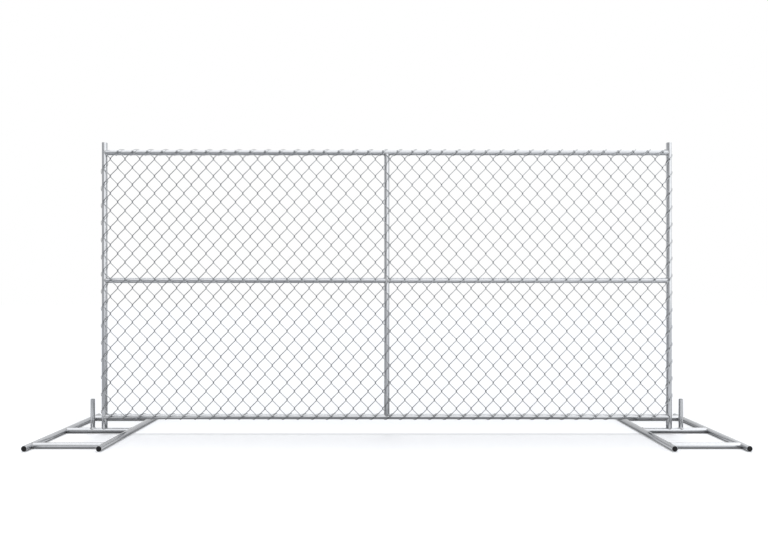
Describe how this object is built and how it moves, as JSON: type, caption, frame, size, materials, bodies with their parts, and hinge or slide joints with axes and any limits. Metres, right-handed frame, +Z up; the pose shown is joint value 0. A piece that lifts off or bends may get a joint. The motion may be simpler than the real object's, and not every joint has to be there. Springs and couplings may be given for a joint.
{
  "type": "chain link temporary fence panel",
  "caption": "Galvanised tube frame covered with chain link fabric, held upright by ladder-shaped tube stands whose pins take the end posts and the next panel.",
  "frame": {"origin": "on the ground under the middle of the panel, midway between the stands", "axes": "+X along the panel to the right end as seen from the front, -Y out of the front face that carries the fabric, +Z up"},
  "size_m": [4.1588, 0.9184, 1.8637],
  "materials": {
    "galvanised_tube": "galvanised, semi-bright",
    "galvanised_wire": "galvanised, dull",
    "black_plastic": "moulded, satin"
  },
  "bodies": {
    "root": {"bottom_rail": "galvanised_tube", "centre_post": "galvanised_tube", "edge_lacing": "galvanised_wire", "fabric_lower_left": "galvanised_wire", "fabric_lower_right": "galvanised_wire", "fabric_upper_left": "galvanised_wire", "fabric_upper_right": "galvanised_wire", "left_end_post": "galvanised_tube", "left_mid_rail": "galvanised_tube", "left_stand_back_crossbar": "galvanised_tube", "left_stand_front_crossbar": "galvanised_tube", "left_stand_inner_back_plug": "black_plastic", "left_stand_inner_front_plug": "black_plastic", "left_stand_inner_runner": "galvanised_tube", "left_stand_middle_crossbar": "galvanised_tube", "left_stand_outer_back_plug": "black_plastic", "left_stand_outer_front_plug": "black_plastic", "left_stand_outer_runner": "galvanised_tube", "left_stand_panel_pin": "galvanised_tube", "left_stand_spare_pin": "galvanised_tube", "right_end_post": "galvanised_tube", "right_mid_rail": "galvanised_tube", "right_stand_back_crossbar": "galvanised_tube", "right_stand_front_crossbar": "galvanised_tube", "right_stand_inner_back_plug": "black_plastic", "right_stand_inner_front_plug": "black_plastic", "right_stand_inner_runner": "galvanised_tube", "right_stand_middle_crossbar": "galvanised_tube", "right_stand_outer_back_plug": "black_plastic", "right_stand_outer_front_plug": "black_plastic", "right_stand_outer_runner": "galvanised_tube", "right_stand_panel_pin": "galvanised_tube", "right_stand_spare_pin": "galvanised_tube", "top_rail": "galvanised_tube"}
  },
  "joints": []
}
